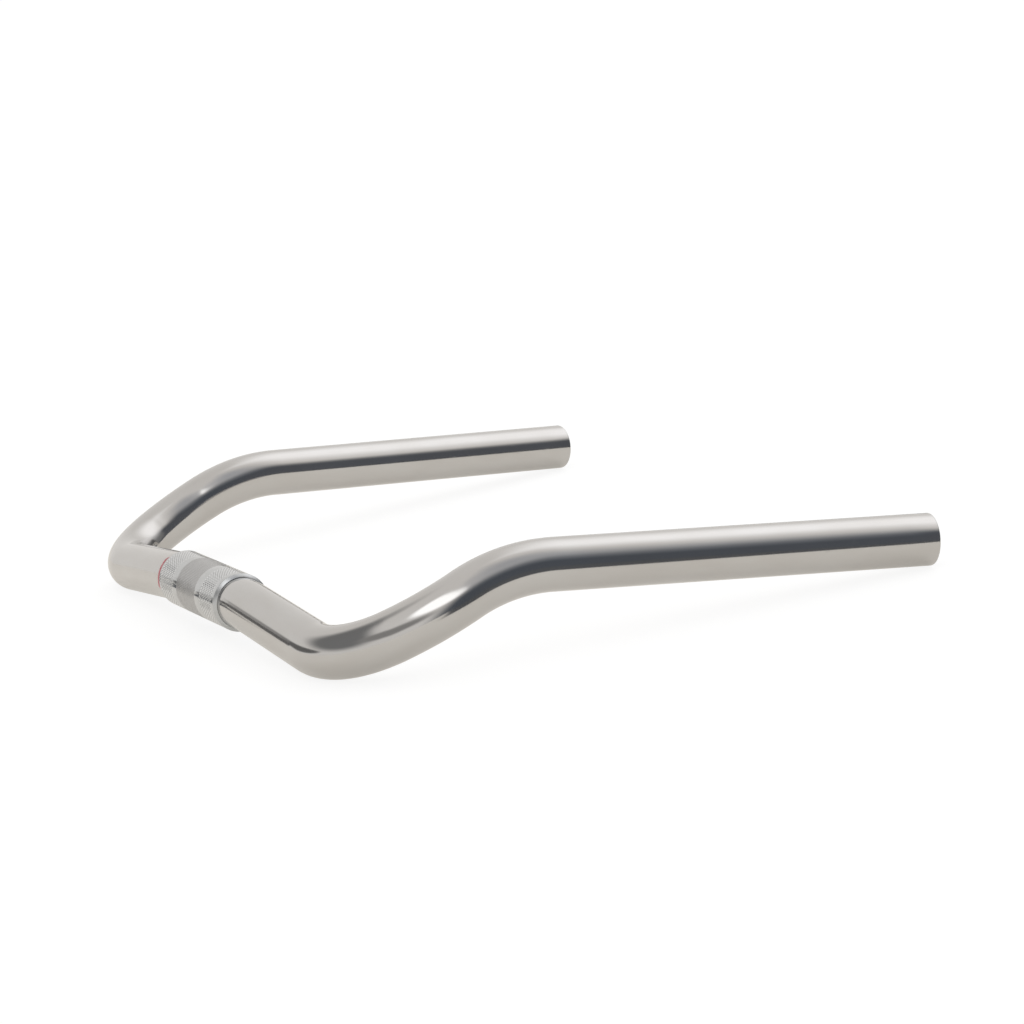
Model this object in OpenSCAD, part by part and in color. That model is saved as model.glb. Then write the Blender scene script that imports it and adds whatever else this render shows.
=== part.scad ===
// Swept-back bicycle handlebar. One round tube is bent the same way on each side of its
// middle: a slight drop beside the clamp, a tight forward bend, a long easy bend that brings
// the bar round towards the rider, and a last bend that sets the grips. A sleeve bonded to
// the straight middle brings it up to the stem's clamp size.
//
// X runs along the clamp, +Y points forward, +Z up. The origin is the middle of the clamp.

/* [Tube] */
// Outer diameter of the tube, which the grips and levers fit
tube_d = 22.2; // [20:0.1:24]
// Thickness of the tube's wall
tube_wall = 2; // [1.4:0.1:3]
// How much thinner each face of the wall is round a bend, where the tube draws in
bend_draw = 0.03; // [0.02:0.01:0.1]
// Radius on the outer and inner edge of each open end
rim_round = 0.5; // [0.2:0.05:0.6]

/* [Clamp sleeve] */
// Thickness of the sleeve's wall, which brings the tube up to the stem's clamp size
sleeve_wall = 1.55; // [1.3:0.05:3]
// Length of the sleeve
sleeve_len = 74; // [60:1:90]
// How far the sleeve's middle sits from the middle of the bar, towards +X
sleeve_shift = 2; // [0:0.1:4]
// Radius that rounds off the edge of each end of the sleeve
sleeve_round = 0.5; // [0.2:0.1:1.2]
// Thickness of the bonding compound between the sleeve and the tube
bond_gap = 0.05; // [0.02:0.01:0.1]

/* [Centre bend] */
// Straight tube between the sleeve's end and the centre bend
centre_margin = 0.5; // [0:0.5:10]
// Attitude of the centre bend about the clamp: 0 drops straight down, and minus turns it back
centre_turn_angle = -4.7; // [-20:0.1:20]
// Angle of the centre bend
centre_angle = 4.85; // [2:0.05:10]
// Centreline radius of the centre bend
centre_radius = 90; // [60:1:200]

/* [Forward bend] */
// Straight tube between the centre bend and the forward bend
forward_run = 68.5; // [50:0.1:110]
// Turn of the tube in the bender before the forward bend
forward_turn_angle = -107.5; // [-120:0.1:-90]
// Angle of the forward bend
forward_angle = 67.6; // [50:0.1:80]
// Centreline radius of the forward bend
forward_radius = 38; // [35:0.5:60]

/* [Sweep bend] */
// Straight tube between the forward bend and the sweep bend
sweep_run = 0.5; // [0.5:0.1:30]
// Turn of the tube in the bender before the sweep bend
sweep_turn_angle = 3.6; // [-20:0.1:20]
// Angle of the sweep bend
sweep_angle = 24.1; // [10:0.1:35]
// Centreline radius of the sweep bend
sweep_radius = 77; // [50:0.5:120]

/* [Grip bend] */
// Straight tube between the sweep bend and the grip bend
grip_bend_run = 0.5; // [0.5:0.1:30]
// Turn of the tube in the bender before the grip bend
grip_bend_turn_angle = 105.5; // [90:0.1:120]
// Angle of the grip bend
grip_bend_angle = 29.2; // [15:0.1:40]
// Centreline radius of the grip bend
grip_bend_radius = 77; // [50:0.5:120]

/* [Grips] */
// Straight length of each grip, from its bend to the open end
grip_len = 167.2; // [120:0.1:190]

/* [Hidden] */
$fn = 96;

bore_d = tube_d - 2 * tube_wall;
sleeve_bore_d = tube_d + 2 * bond_gap;
sleeve_d = sleeve_bore_d + 2 * sleeve_wall;
centre_run = sleeve_len / 2 + sleeve_shift + centre_margin;
lap = bend_draw * 10;
polished = [0.75, 0.75, 0.74];
knurled = [0.66, 0.65, 0.64];

// The tube's wall as a flat ring, drawn in on both faces by some amount.
module wall_section(draw = 0) {
    difference() {
        circle(d = tube_d - 2 * draw);
        circle(d = bore_d + 2 * draw);
    }
}

// A straight run of tube along +Z, which laps a hair into the thinner bends at its ends.
module straight(run) {
    translate([0, 0, -lap])
        linear_extrude(height = run + 2 * lap) wall_section();
}

// A bent run of tube that starts at the origin along +Z and curves towards +X.
module bend(angle, radius) {
    translate([radius, 0, 0])
        rotate([90, 0, 180])
            rotate_extrude(angle = angle)
                translate([radius, 0]) wall_section(bend_draw);
}

// Puts what follows at the far end of a bend.
module after_bend(angle, radius) {
    translate([radius, 0, 0])
        rotate([0, angle, 0])
            translate([-radius, 0, 0]) children();
}

// One step of the bender: feed a straight run, turn the tube about its own axis, then bend it.
// What follows the step is placed at its far end.
module bender_step(run, roll, angle, radius) {
    if (run > 0) straight(run);
    translate([0, 0, run]) rotate([0, 0, roll]) {
        bend(angle, radius);
        after_bend(angle, radius) children();
    }
}

// The last straight, a turned profile whose open end is rounded inside and out.
module grip() {
    inner = bore_d / 2;
    rotate_extrude() {
        translate([inner, -lap]) square([tube_wall, grip_len - rim_round + lap]);
        translate([inner + rim_round, 0]) square([tube_wall - 2 * rim_round, grip_len]);
        for (edge = [inner + rim_round, inner + tube_wall - rim_round])
            translate([edge, grip_len - rim_round]) circle(r = rim_round, $fn = 48);
    }
}

// One side of the bar, step by step from the clamp outwards. The straight middle is drawn
// once for both sides, so the first step feeds no run.
module bent_side() {
    bender_step(0, centre_turn_angle, centre_angle, centre_radius)
    bender_step(forward_run, forward_turn_angle, forward_angle, forward_radius)
    bender_step(sweep_run, sweep_turn_angle, sweep_angle, sweep_radius)
    bender_step(grip_bend_run, grip_bend_turn_angle, grip_bend_angle, grip_bend_radius)
        grip();
}

// The whole tube: the straight middle and the two bent sides.
module bar_tube() {
    color(polished) {
        rotate([0, 90, 0]) translate([0, 0, -centre_run]) straight(2 * centre_run);
        for (side = [0, 1])
            mirror([side, 0, 0])
                translate([centre_run, 0, 0]) rotate([0, 90, 0]) bent_side();
    }
}

// The sleeve, turned with rounded ends and bored to sit on the tube.
module clamp_sleeve() {
    flat = sleeve_len - 2 * sleeve_round;
    bore = sleeve_bore_d / 2;
    color(knurled)
        translate([sleeve_shift, 0, 0]) rotate([0, 90, 0])
            rotate_extrude() {
                translate([bore, -flat / 2]) square([sleeve_wall, flat]);
                translate([bore, -sleeve_len / 2])
                    square([sleeve_wall - sleeve_round, sleeve_len]);
                for (end = [-1, 1])
                    translate([bore + sleeve_wall - sleeve_round, end * flat / 2])
                        circle(r = sleeve_round, $fn = 48);
            }
}

bar_tube();
clamp_sleeve();
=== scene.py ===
"""A swept-back bicycle handlebar in polished aluminium, on a pale studio floor.

The tube is one round section carried along a centreline. The centreline is what a tube
bender would do: feed a straight run, turn the tube about its own axis, bend it through an
angle on a radius, and repeat, for each side of the clamp. The sleeve is a turned ring whose
radius is read from the knurling tool's pattern at every point of its surface.
"""

import bpy
import numpy as np
from mathutils import Matrix


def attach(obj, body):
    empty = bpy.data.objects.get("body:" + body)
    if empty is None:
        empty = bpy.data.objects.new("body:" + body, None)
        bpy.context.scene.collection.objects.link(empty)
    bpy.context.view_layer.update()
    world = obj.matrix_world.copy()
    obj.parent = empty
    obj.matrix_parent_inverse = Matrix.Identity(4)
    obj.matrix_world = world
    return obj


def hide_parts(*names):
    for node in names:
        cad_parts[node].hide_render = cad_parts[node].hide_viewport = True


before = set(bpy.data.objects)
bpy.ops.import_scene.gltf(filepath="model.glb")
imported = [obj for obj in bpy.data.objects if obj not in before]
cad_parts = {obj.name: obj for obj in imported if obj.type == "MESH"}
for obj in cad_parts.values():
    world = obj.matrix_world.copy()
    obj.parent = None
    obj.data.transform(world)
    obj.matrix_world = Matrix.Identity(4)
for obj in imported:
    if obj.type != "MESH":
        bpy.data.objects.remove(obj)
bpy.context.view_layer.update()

# ---------------------------------------------------------------- camera
# The photograph is taken from the front left, a little above the bar, with a long lens
# and the camera tipped slightly about its own axis.
CAMERA_AT = (-1.29698, 0.41799, 0.29321)
CAMERA_RIGHT = (-0.42011, -0.89763, -0.13329)
CAMERA_DOWN = (-0.12715, 0.20365, -0.97075)
CAMERA_AHEAD = (0.89852, -0.39087, -0.19969)
SENSOR, LENS = 36, 111.16  # mm
CLIP_START, CLIP_END = 0.05, 100  # metres

camera = bpy.data.objects.new("camera", bpy.data.cameras.new("camera"))
bpy.context.scene.collection.objects.link(camera)
bpy.context.scene.camera = camera
pose = np.eye(4)
pose[:3, 0] = CAMERA_RIGHT
pose[:3, 1] = -np.array(CAMERA_DOWN)
pose[:3, 2] = -np.array(CAMERA_AHEAD)
pose[:3, 3] = CAMERA_AT
camera.matrix_world = Matrix(pose.tolist())
camera.data.sensor_width, camera.data.lens = SENSOR, LENS
camera.data.clip_start, camera.data.clip_end = CLIP_START, CLIP_END

# ---------------------------------------------------------------- studio
# A white sweep lit by two soft overhead lights. Between them the metal mirrors the dark
# side of the room, which is what draws its long dark bands.
MM = 0.001
DEGREES = 57.29578  # in a radian
FLOOR_Z = -17.55 * MM
FLOOR_REACH = 30.0  # metres from the middle to each edge
# the room's soft patches, each drawn over those before it: azimuth and elevation of its
# middle, its reach in both, how much it climbs per degree of azimuth, how far out it stays
# full (0 to 1), the brightness it brings, colour
ROOM = [
    ("dark side of the room", -158, 6, 42, 54, 0.0, 0.50, 0.13, "#E0ECFF"),
    ("haze above the dark side", -162, 56, 40, 38, 0.0, 0.0, 0.56, "#F8FAFF"),
    ("dark side, towards the grips", -118, 4, 60, 35, 0.0, 0.50, 0.14, "#ECF2FF"),
    ("doorway at the end of the dark side", -82, 13, 42, 18, 0.0, 0.50, 0.28, "#F4F4F4"),
    ("dark corner on the left", 70, 38, 62, 30, -0.3, 0.50, 0.26, "#F4F4F4"),
    ("gap under the left light", 132, 27, 42, 14, -0.15, 0.50, 0.36, "#F2EFEC"),
    ("fold at the foot of the backdrop", 24, 1.2, 12, 4.2, 0.75, 0.65, 0.15, "#F6F4F2"),
    ("plain backdrop right of the fold", 12.8, 2, 8, 30, 0.0, 0.96, 0.87, "#FFFCF8"),
    ("shelf behind the fold", 47, 8.5, 26, 7, 0.0, 0.72, 0.18, "#F6F4F2"),
    ("soft light over the grips", -76, 50, 66, 42, 0.0, 0.18, 1.50, "#FFFEFE"),
    ("soft light over the front", 155, 50, 30, 17, -0.4, 0.62, 1.90, "#FFFFFF"),
]
BACKDROP, BACKDROP_COLOUR = 0.87, "#FFFCF8"
# what the metal sees of the floor: warm white paper, part lit and part glowing, and the dark
# of the room beyond its edges
PAPER_COLOUR, PAPER_LIT, PAPER_GLOW = "#FFFBF4", 0.48, 0.48
BEYOND_COLOUR, BEYOND = "#F4F8FF", 0.13
# what the camera sees of the floor: near white, which keeps a faint shadow
SEEN_LIT, SEEN_GLOW = 0.22, 0.85
# the paper ends beside the near arm and behind the grips: where, and how softly, in metres
PAPER_NEAR, PAPER_LEFT, PAPER_BACK = (-0.28, 0.005), (-0.04, 0.02), (-0.345, 0.01)
# a strip of painted shade runs across it away from the bar: its start, its two edges and their
# slope in plan
SHADE_STRIP_START, SHADE_STRIP_SLOPE = (0.165, 0.02), 0.40
SHADE_STRIP_FROM, SHADE_STRIP_TO = (-0.010, -0.002), (0.050, 0.062)


def linear(code):
    """An sRGB hex code as linear RGBA."""
    c = np.array([int(code[i : i + 2], 16) / 255 for i in (1, 3, 5)])
    c = np.where(c <= 0.04045, c / 12.92, ((c + 0.055) / 1.055) ** 2.4)
    return (*c.tolist(), 1.0)


def shine(code, strength):
    """A colour of the room at a brightness, where 1 is plain white."""
    return (*(c * strength for c in linear(code)[:3]), 1.0)


def add(tree, kind, links=None, **settings):
    """A new node. Settings are its own; links maps an input to a value or to an output."""
    node = tree.nodes.new("ShaderNode" + kind)
    for name, value in settings.items():
        setattr(node, name, value)
    for key, value in (links or {}).items():
        if isinstance(value, bpy.types.NodeSocket):
            tree.links.new(value, node.inputs[key])
        else:
            node.inputs[key].default_value = value
    return node


def maths(tree, operation, *values):
    """The output of one Math node."""
    return add(tree, "Math", dict(enumerate(values)), operation=operation).outputs[0]


def squared(tree, value):
    """A value times itself."""
    return maths(tree, "MULTIPLY", value, value)


def ramp(tree, value, low, high, start=0.0, end=1.0):
    """Value from low to high, eased into start to end."""
    links = {0: value, 1: low, 2: high, 3: start, 4: end}
    return add(tree, "MapRange", links, interpolation_type="SMOOTHSTEP").outputs[0]


def edge(tree, value, line):
    """0 before a line and 1 beyond it. The line is where, and how softly to each side."""
    return ramp(tree, value, line[0] - line[1], line[0] + line[1])


def window(tree, value, rise, fall):
    """0, eased up to 1 over the rise and back down over the fall, each a from and a to."""
    return maths(tree, "MULTIPLY", ramp(tree, value, *rise), ramp(tree, value, *fall, 1.0, 0.0))


def mixed(tree, amount, a, b):
    """Colour a going to colour b."""
    return add(tree, "Mix", {0: amount, 6: a, 7: b}, data_type="RGBA").outputs[2]


def parts_of(tree, vector):
    """The three outputs that hold a vector's parts."""
    return add(tree, "SeparateXYZ", {0: vector}).outputs


def new_material(name):
    """A node material emptied down to its output, with its tree."""
    material = bpy.data.materials.new(name)
    material.use_nodes = True
    material.node_tree.nodes.clear()
    return material, material.node_tree, add(material.node_tree, "OutputMaterial")


def new_piece(name, points, faces, smooth=True):
    """A mesh object in the scene, from points in metres and faces as lists of their numbers."""
    mesh = bpy.data.meshes.new(name)
    mesh.from_pydata(points.tolist(), [], faces)
    mesh.polygons.foreach_set("use_smooth", np.full(len(mesh.polygons), smooth))
    piece = bpy.data.objects.new(name, mesh)
    bpy.context.scene.collection.objects.link(piece)
    return piece


world = bpy.data.worlds.new("studio")
bpy.context.scene.world = world
world.use_nodes = True
tree = world.node_tree
tree.nodes.clear()
axis = parts_of(tree, add(tree, "TexCoord").outputs["Generated"])
elevation = maths(tree, "MULTIPLY", maths(tree, "ARCSINE", axis[2]), DEGREES)
azimuth = maths(tree, "MULTIPLY", maths(tree, "ARCTAN2", axis[1], axis[0]), DEGREES)
light = shine(BACKDROP_COLOUR, BACKDROP)
for _, az, el, wide, tall, climb, full, strength, colour in ROOM:
    away = maths(tree, "WRAP", maths(tree, "SUBTRACT", azimuth, az), 180.0, -180.0)
    across = squared(tree, maths(tree, "DIVIDE", away, wide))
    up = maths(tree, "SUBTRACT", elevation, maths(tree, "MULTIPLY_ADD", away, climb, el))
    up = squared(tree, maths(tree, "DIVIDE", up, tall))
    out = maths(tree, "SQRT", maths(tree, "ADD", across, up))
    light = mixed(tree, ramp(tree, out, full, 1.0, 1.0, 0.0), light, shine(colour, strength))
seen = add(tree, "LightPath").outputs["Is Camera Ray"]
room = add(tree, "Background", {"Color": light, "Strength": 1.0}).outputs[0]
white = add(tree, "Background", {"Color": (1, 1, 1, 1), "Strength": 1.0}).outputs[0]
shown = add(tree, "MixShader", {0: seen, 1: room, 2: white}).outputs[0]
add(tree, "OutputWorld", {0: shown})

corners = np.array([(-1, -1, 0), (1, -1, 0), (1, 1, 0), (-1, 1, 0)], float) * FLOOR_REACH
corners[:, 2] = FLOOR_Z
floor = new_piece("floor", corners, [(0, 1, 2, 3)], smooth=False)
material, tree, output = new_material("painted studio floor")
place = parts_of(tree, add(tree, "TexCoord").outputs["Object"])
sheet = maths(
    tree, "MAXIMUM", edge(tree, place[0], PAPER_NEAR), edge(tree, place[1], PAPER_LEFT)
)
sheet = maths(tree, "MULTIPLY", sheet, edge(tree, place[1], PAPER_BACK))
# painted shade: a dark strip across the paper, running away from the bar, where the metal sees
# the dark beyond instead of the paper
across = maths(tree, "SUBTRACT", place[1], maths(tree, "MULTIPLY", place[0], SHADE_STRIP_SLOPE))
shade_strip = window(tree, across, SHADE_STRIP_FROM, SHADE_STRIP_TO)
shade_strip = maths(tree, "MULTIPLY", shade_strip, edge(tree, place[0], SHADE_STRIP_START))
sheet = maths(tree, "MULTIPLY", sheet, maths(tree, "SUBTRACT", 1.0, shade_strip))
lit = add(tree, "BsdfDiffuse", {"Color": shine(PAPER_COLOUR, PAPER_LIT)}).outputs[0]
glow = {"Color": linear(PAPER_COLOUR), "Strength": PAPER_GLOW}
paper = add(tree, "AddShader", {0: lit, 1: add(tree, "Emission", glow).outputs[0]}).outputs[0]
dark = {"Color": linear(BEYOND_COLOUR), "Strength": BEYOND}
beyond = add(tree, "Emission", dark).outputs[0]
mirrored = add(tree, "MixShader", {0: sheet, 1: beyond, 2: paper}).outputs[0]
shade = add(tree, "BsdfDiffuse", {"Color": (SEEN_LIT, SEEN_LIT, SEEN_LIT, 1)}).outputs[0]
base = add(tree, "Emission", {"Color": (1, 1, 1, 1), "Strength": SEEN_GLOW}).outputs[0]
bright = add(tree, "AddShader", {0: shade, 1: base}).outputs[0]
seen = add(tree, "LightPath").outputs["Is Camera Ray"]
shown = add(tree, "MixShader", {0: seen, 1: mirrored, 2: bright}).outputs[0]
tree.links.new(shown, output.inputs[0])
floor.data.materials.append(material)

bpy.context.scene.view_settings.view_transform = "Standard"

# ---------------------------------------------------------------- bent tube
# One 22.2 mm aluminium tube with a 2 mm wall, bent cold on four formers a side, then
# polished along its length. Its open ends are rounded over.
TUBE_R = 11.1
BORE_R = 9.1
RIM = 0.5
# each face of the wall draws in round a bend, easing in and out over so many mm
DRAW, DRAW_EASE = 0.03, 3.0
CENTRE_RUN = 39.5
GRIP_LEN = 167.2
# straight run, turn, bend angle, bend radius
BENDER = [
    (0.0, -4.7, 4.85, 90.0),
    (68.5, -107.5, 67.6, 38.0),
    (0.5, 3.6, 24.1, 77.0),
    (0.5, 105.5, 29.2, 77.0),
]
# points round the tube, degrees of bend to a ring, and rings to a straight and to a grip
AROUND, RING_ANGLE, RUN_RINGS, GRIP_RINGS = 96, 0.9, 7, 13
# features per metre along the tube and across it. The polishing belt runs along the tube:
# hairlines 0.15 mm wide and 15 mm long, over patches a few centimetres long where the polish
# is a little less even, and light rubs on the grips, where things have been slid on and off
HAIRS, PATCHES, RUBS = (65.0, 6500.0, 6500.0), (28.0, 90.0, 90.0), (160.0, 420.0, 420.0)
RUBS_FROM, RUBS_FULL = 0.310, 0.345  # metres of tube from the middle of the bar
# roughness of the even polish, and what the patches, hairlines and rubs add
POLISH, PATCHES_ADD, HAIRS_ADD, RUBS_ADD = 0.080, 0.045, 0.025, 0.10
HAIR_DEEP = 0.0000012  # metres


def side_stations():
    """Points along one side's centreline, each with its axes, arc length and wall draw."""
    at = np.array([CENTRE_RUN, 0.0, 0.0])
    local = np.array([[0, 0, -1], [0, 1, 0], [1, 0, 0]], float)
    rows, turned, gone = [(at, local, CENTRE_RUN, 0.0)], 0.0, CENTRE_RUN
    for run, roll, angle, radius in BENDER:
        if run > 1:
            for part in np.linspace(0, run, RUN_RINGS + 1)[1:]:
                rows.append((at + local[2] * part, local, gone + part, 0.0))
        at, gone = at + local[2] * run, gone + run
        turned += np.radians(roll)
        inward = local[0] * np.cos(turned) + local[1] * np.sin(turned)
        hinge = np.cross(local[2], inward)
        centre, first, total = at + inward * radius, local, np.radians(angle)
        for a in np.linspace(0, total, int(round(angle / RING_ANGLE)) + 1)[1:]:
            c, s = np.cos(a), np.sin(a)
            spun = c * first + s * np.cross(hinge, first)
            spun = spun + (1 - c) * (first @ hinge)[:, None] * hinge
            here = centre - radius * (inward * c - first[2] * s)
            ease = np.clip(np.minimum(a, total - a) * radius / DRAW_EASE, 0, 1)
            rows.append((here, spun, gone + a * radius, DRAW * ease))
        at, local, gone = here, spun, gone + total * radius
    for part in np.linspace(0, GRIP_LEN - RIM, GRIP_RINGS + 1)[1:]:
        rows.append((at + local[2] * part, local, gone + part, 0.0))
    return rows


def bar_stations():
    """Stations from one end of the bar to the other: centres, axes (two across the tube and
    one along it), arc length from the middle and wall draw."""
    side = side_stations()
    middle = [
        (np.array([x, 0.0, 0.0]), side[0][1], x, 0.0)
        for x in np.linspace(0, CENTRE_RUN, 4)[:-1]
    ]
    half = middle + side
    flip = np.array([-1.0, 1.0, 1.0])
    other = []
    for at, axes, gone, draw in half[:0:-1]:
        # mirrored in X: the tangent turns round, so that it still runs from -X to +X
        mirrored = axes * flip
        mirrored[2] *= -1
        other.append((at * flip, mirrored, -gone, draw))
    return (np.array(column) for column in zip(*other, *half))


def build_tube():
    """The tube's surface as a grid of points, along by round, and the same grid unbent."""
    at, axes, gone, draw = bar_stations()
    arc = np.linspace(0, np.pi / 2, 7)
    corner = RIM * np.stack([np.cos(arc), np.sin(arc)], 1)
    last = len(at) - 1
    # each ring: its station, how far it is pushed along the tube from there, and its radius.
    # They run along the outside, over one rim, back through the bore and over the other rim
    rings = [(i, 0.0, TUBE_R - draw[i]) for i in range(last + 1)]
    rings += [(last, s, TUBE_R - RIM + c) for c, s in corner[1:]]
    rings += [(last, s, BORE_R + RIM - c) for c, s in corner[::-1]]
    rings += [(i, 0.0, BORE_R + draw[i]) for i in range(last - 1, 0, -1)]
    rings += [(0, -s, BORE_R + RIM - c) for c, s in corner]
    rings += [(0, -s, TUBE_R - RIM + c) for c, s in corner[::-1][:-1]]
    index = np.array([ring[0] for ring in rings])
    push, radius = np.array([ring[1:] for ring in rings]).T
    theta = np.linspace(0, 2 * np.pi, AROUND, endpoint=False)
    c, s = np.cos(theta)[:, None, None], np.sin(theta)[:, None, None]
    circle = c * axes[index, 0] + s * axes[index, 1]
    centre = at[index] + axes[index, 2] * push[:, None]
    points = (centre + circle * radius[:, None]).transpose(1, 0, 2)
    reach, wide = (gone[index] + push)[:, None], radius[:, None]
    unbent = np.broadcast_arrays(reach, wide * np.cos(theta), wide * np.sin(theta))
    return points, np.stack(unbent, 2)


def cells(rows, columns, close_rows=True):
    """The numbers of the four corners of each cell of a grid whose columns run in a ring."""
    r = np.arange(rows if close_rows else rows - 1)[:, None]
    c = np.arange(columns)[None, :]
    r_next, c_next = (r + 1) % rows, (c + 1) % columns
    return [a * columns + b for a, b in ((r, c), (r, c_next), (r_next, c_next), (r_next, c))]


def surface(name, points, unbent=None, close_rows=True):
    """A grid of points in mm, rows x columns, as a smooth closed mesh object in metres. Rows
    that don't close on themselves get a flat cap at both ends."""
    rows, columns = points.shape[:2]
    faces = np.stack(cells(rows, columns, close_rows), 2).reshape(-1, 4).tolist()
    if not close_rows:
        faces.append(list(range(columns))[::-1])
        faces.append(list(range((rows - 1) * columns, rows * columns)))
    piece = new_piece(name, points.reshape(-1, 3) * MM, faces)
    if unbent is not None:
        attribute = piece.data.attributes.new("unbent", "FLOAT_VECTOR", "POINT")
        attribute.data.foreach_set("vector", (unbent.reshape(-1, 3) * MM).ravel())
    piece.data.validate()
    return piece


def grain(tree, where, stretch, detail=2.0):
    """Noise from 0 to 1 with so many features per metre in each direction."""
    spread = add(tree, "VectorMath", {0: where, 1: stretch}, operation="MULTIPLY").outputs[0]
    return add(tree, "TexNoise", {"Vector": spread, "Scale": 1.0, "Detail": detail}).outputs[0]


tube = surface("polished_tube", *build_tube())
material, tree, output = new_material("aluminium tube, polished along its length")
along = add(tree, "Attribute", attribute_name="unbent").outputs["Vector"]
hairs = grain(tree, along, HAIRS)
patches = grain(tree, along, PATCHES, 3.0)
reach = maths(tree, "ABSOLUTE", parts_of(tree, along)[0])
rubs = ramp(tree, grain(tree, along, RUBS, 4.0), 0.60, 0.74)
rubs = maths(tree, "MULTIPLY", rubs, ramp(tree, reach, RUBS_FROM, RUBS_FULL))
rough = maths(tree, "MULTIPLY_ADD", patches, PATCHES_ADD, POLISH)
rough = maths(tree, "MULTIPLY_ADD", hairs, HAIRS_ADD, rough)
rough = maths(tree, "MULTIPLY_ADD", rubs, RUBS_ADD, rough)
worn = ramp(tree, patches, 0.25, 0.75)
colour = mixed(tree, worn, linear("#C7C6C5"), linear("#C2C0BE"))
lines = add(tree, "Bump", {"Strength": 0.5, "Distance": HAIR_DEEP, "Height": hairs}).outputs[0]
metal = add(tree, "BsdfPrincipled", {
    "Base Color": colour, "Metallic": 1.0, "Roughness": rough, "Normal": lines,
})
tree.links.new(metal.outputs[0], output.inputs[0])
tube.data.materials.append(material)
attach(tube, "root")
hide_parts("bar_tube")

# ---------------------------------------------------------------- clamp sleeve
# A turned aluminium ring bonded over the middle of the tube. A knurling tool has rolled it
# with a band of diamonds towards each end and a band of fine lines between them, and left
# plain polished rings beside each band.
SLEEVE_R = 12.7
SLEEVE_BORE = 11.15
SLEEVE_NEAR, SLEEVE_FAR = -35.0, 39.0
CHAMFER = 1.25
# how many diamonds go round the sleeve, their length along it and the depth of their
# grooves, and how many fine lines go round and their depth
DIAMONDS, DIAMOND_LEN, DIAMOND_DEEP = 60, 2.6, 0.085
LINES, LINE_DEEP = 120, 0.05
# where each band starts and ends, and how far its pattern takes to reach its full depth
NEAR_BAND, LINED_BAND, FAR_BAND = (-31.3, -15.2), (-9.6, 14.6), (20.0, 37.2)
DIAMOND_FADE, LINE_FADE = 1.5, 0.4
# mesh cells to a diamond, each way, and the turn from face to face that reads as an edge
CUTS, SHARP = 6, 16
BLOTCHES = (260.0, 260.0, 260.0)  # per metre
# roughness of the plain rings, and what the satin lines, blotches, shaded grooves and cut ends
# add
PLAIN, SATIN_ADD, BLOTCHES_ADD, GROOVE_ROUGH_ADD, CUT_ADD = 0.10, 0.14, 0.05, 0.12, 0.18

columns = DIAMONDS * CUTS
turn = np.arange(columns) / columns


def wave(t):
    """0 in a groove, at every whole number, rising straight to 1 halfway between."""
    return 1 - 2 * np.abs(t % 1 - 0.5)


def groove(t):
    """The depth of a V one cut wide on each side of the groove, with a flat land beyond."""
    return 1 - np.clip(t * CUTS / 2, 0, 1)


def diamonds(band):
    """Where along the sleeve, the radius there and which way each cell splits, for one band
    whose two families of grooves cross and die away at its ends."""
    rows = int(round((band[1] - band[0]) / DIAMOND_LEN * CUTS)) + 1
    x = np.linspace(*band, rows)
    a = DIAMONDS * turn + np.arange(rows)[:, None] / CUTS
    b = DIAMONDS * turn - np.arange(rows)[:, None] / CUTS
    fade = np.clip(np.minimum(x - band[0], band[1] - x) / DIAMOND_FADE, 0, 1)[:, None]
    low = SLEEVE_R - DIAMOND_DEEP * fade * groove(np.minimum(wave(a), wave(b)))
    return x, low, wave(a + 1 / CUTS) < wave(b)


def fine_lines(band):
    """The same for the band of lines along the sleeve, which end in a short slope."""
    x = band[0] + np.array([0.0, LINE_FADE, 8.0, 16.0, 0.0, 0.0])
    x[4:] = band[1] - LINE_FADE, band[1]
    deep = LINE_DEEP * np.array([0, 1, 1, 1, 1, 0])[:, None]
    low = SLEEVE_R - deep * (1 - wave(LINES * turn))
    return x, low, np.zeros(low.shape, bool)


def plain(x, radius):
    """The same for rings of one radius each, with nothing rolled into them."""
    x, radius = np.atleast_1d(x), np.atleast_1d(radius)
    return x, np.tile(radius[:, None], (1, columns)), np.zeros((len(x), columns), bool)


rim_x = CHAMFER * np.array([0.10, 0.35, 0.65, 0.92, 1.0])
rim_r = SLEEVE_R - CHAMFER * np.array([0.03, 0.28, 0.62, 0.95, 1.1])
first_x, last_x = SLEEVE_NEAR + CHAMFER, SLEEVE_FAR - CHAMFER
bands = [
    plain(np.linspace(first_x, NEAR_BAND[0] - 0.3, 3), np.full(3, SLEEVE_R)),
    diamonds(NEAR_BAND),
    fine_lines(LINED_BAND),
    diamonds(FAR_BAND),
    plain(last_x, SLEEVE_R),
    plain(last_x + rim_x, rim_r),
    plain([SLEEVE_FAR, 0.0, SLEEVE_NEAR], [SLEEVE_BORE] * 3),
    plain(first_x - rim_x[::-1], rim_r[::-1]),
]
profile_x, profile_r, split = (np.concatenate(column) for column in zip(*bands))
angle = 2 * np.pi * turn
points = np.stack(np.broadcast_arrays(
    profile_x[:, None], profile_r * np.cos(angle), profile_r * np.sin(angle)), 2)

# each cell is split into two triangles along the groove that crosses it
p00, p01, p11, p10 = cells(*profile_r.shape)
first = np.where(split, [p00, p01, p10], [p00, p01, p11])
second = np.where(split, [p01, p11, p10], [p00, p11, p10])
faces = np.concatenate([first.reshape(3, -1), second.reshape(3, -1)], 1).T
sleeve = new_piece("knurled_sleeve", points.reshape(-1, 3) * MM, faces.tolist())
sleeve.data.set_sharp_from_angle(angle=np.radians(SHARP))

material, tree, output = new_material("aluminium sleeve, knurled and polished")
here = add(tree, "TexCoord").outputs["Object"]
x_mm, y_mm, z_mm = (maths(tree, "DIVIDE", part, MM) for part in parts_of(tree, here))
r_mm = maths(tree, "SQRT", maths(tree, "ADD", squared(tree, y_mm), squared(tree, z_mm)))
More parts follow.
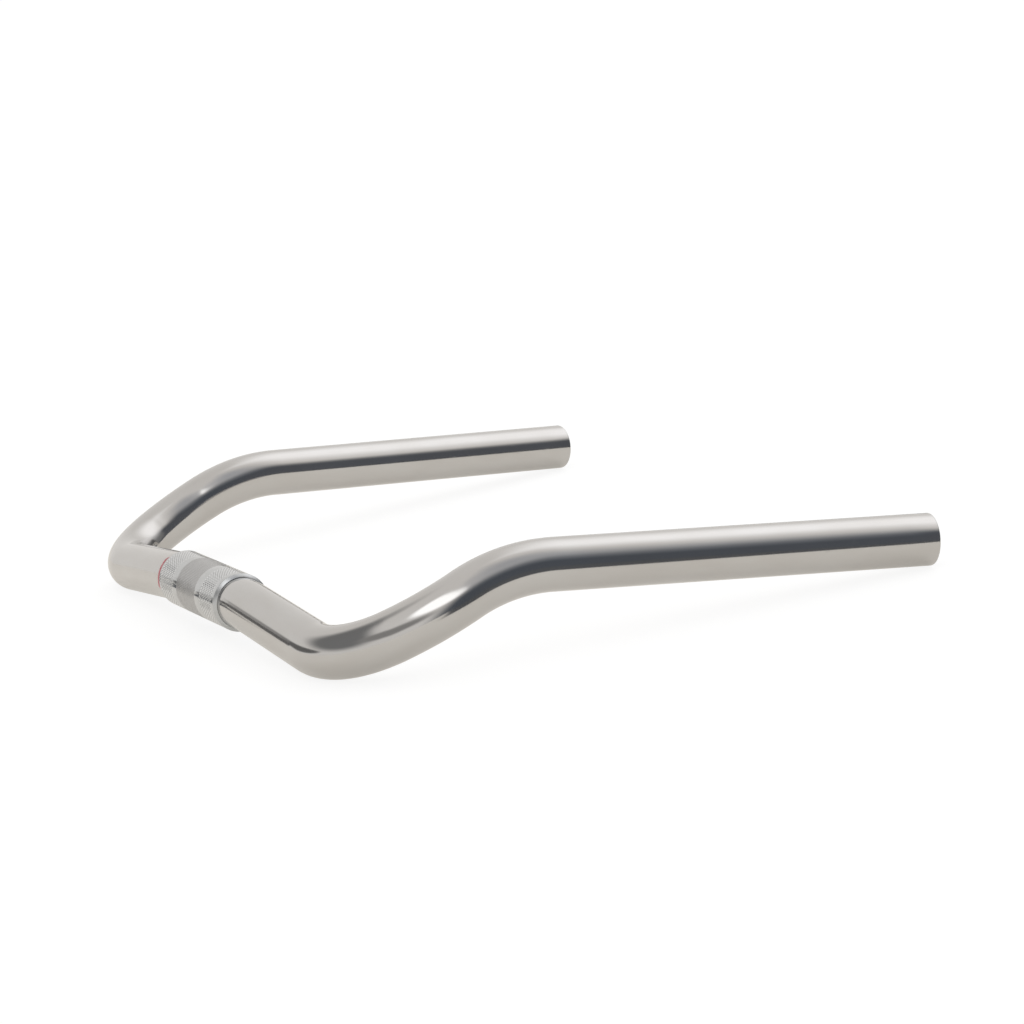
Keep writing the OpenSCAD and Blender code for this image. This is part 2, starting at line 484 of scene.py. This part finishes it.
# the fine lines leave the middle band satin; rolling has brightened the lands of the
# diamonds, and their grooves are darkened with painted shade and made a little rougher
start, end = LINED_BAND
satin = window(tree, x_mm, (start - 0.2, start + 0.4), (end - 0.4, end + 0.2))
# how far a point sinks into a groove, which sets the painted shade there
sunk = ramp(tree, r_mm, SLEEVE_R - DIAMOND_DEEP, SLEEVE_R - 0.01, 1.0, 0.0)
body = window(tree, x_mm, (first_x + 0.4, first_x + 0.8), (last_x - 0.3, last_x))
groove_shade = maths(tree, "MULTIPLY", sunk, body)
blotch = grain(tree, here, BLOTCHES, 3.0)
rough = maths(tree, "MULTIPLY_ADD", satin, SATIN_ADD, PLAIN)
rough = maths(tree, "MULTIPLY_ADD", blotch, BLOTCHES_ADD, rough)
rough = maths(tree, "MULTIPLY_ADD", groove_shade, GROOVE_ROUGH_ADD, rough)
rough = maths(tree, "MULTIPLY_ADD", maths(tree, "SUBTRACT", 1.0, body), CUT_ADD, rough)
colour = mixed(tree, ramp(tree, blotch, 0.35, 0.65), linear("#C4C6C8"), linear("#BFC1C2"))
colour = mixed(tree, maths(tree, "MULTIPLY", satin, 0.5), colour, linear("#A8A6A6"))
for start, end in (NEAR_BAND, FAR_BAND):
    rolled = window(tree, x_mm, (start, start + DIAMOND_FADE), (end - DIAMOND_FADE, end))
    colour = mixed(tree, rolled, colour, linear("#DADCDE"))
# painted shade: dark grey in the grooves of the knurling, darkest where they sink deepest
colour = mixed(tree, maths(tree, "MULTIPLY", groove_shade, 0.8), colour, linear("#6C6C6C"))
metal = add(tree, "BsdfPrincipled", {"Base Color": colour, "Metallic": 1.0, "Roughness": rough})
tree.links.new(metal.outputs[0], output.inputs[0])
sleeve.data.materials.append(material)
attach(sleeve, "root")
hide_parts("clamp_sleeve")

# ---------------------------------------------------------------- line of compound
# A bead of red-brown compound left against the far end of the sleeve, thickest at the front
# and fading out to both ends. It sticks to the sleeve's end and to the tube.
# degrees round the tube, from straight ahead towards the top; rings in all, and to each fade
BEAD_FROM, BEAD_TO, BEAD_RINGS, BEAD_FADE = -24, 74, 74, 14
# the bead's outline, millimetres out from the sleeve's end and up from the tube
BEAD = np.array([
    (0.8, -0.08), (1.75, 0.0), (1.7, 0.8), (1.5, 1.3), (1.1, 1.5), (0.5, 1.5), (0.0, 1.38),
    (-0.25, 0.9), (0.0, 0.1),
])
CRUMBS = (900.0, 900.0, 900.0)  # per metre
LUMP_DEEP = 0.0002  # metres

sweep = np.radians(np.linspace(BEAD_FROM, BEAD_TO, BEAD_RINGS))[:, None]
rings = np.arange(BEAD_RINGS)
size = (np.clip(np.minimum(rings, rings[::-1]) / BEAD_FADE, 0.02, 1) ** 0.6)[:, None]
out, up = BEAD[:, 0] * size, TUBE_R + BEAD[:, 1] * size
points = np.stack([SLEEVE_FAR + out, up * np.cos(sweep), up * np.sin(sweep)], 2)
bead = surface("compound_line", points, close_rows=False)
material, tree, output = new_material("polishing compound, dried")
crumbs = grain(tree, add(tree, "TexCoord").outputs["Object"], CRUMBS, 4.0)
colour = mixed(tree, ramp(tree, crumbs, 0.35, 0.65), linear("#C4757C"), linear("#D4959B"))
lumps = add(tree, "Bump", {"Strength": 0.5, "Distance": LUMP_DEEP, "Height": crumbs}).outputs[0]
dull = add(tree, "BsdfPrincipled", {"Base Color": colour, "Roughness": 0.6, "Normal": lumps})
tree.links.new(dull.outputs[0], output.inputs[0])
bead.data.materials.append(material)
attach(bead, "root")
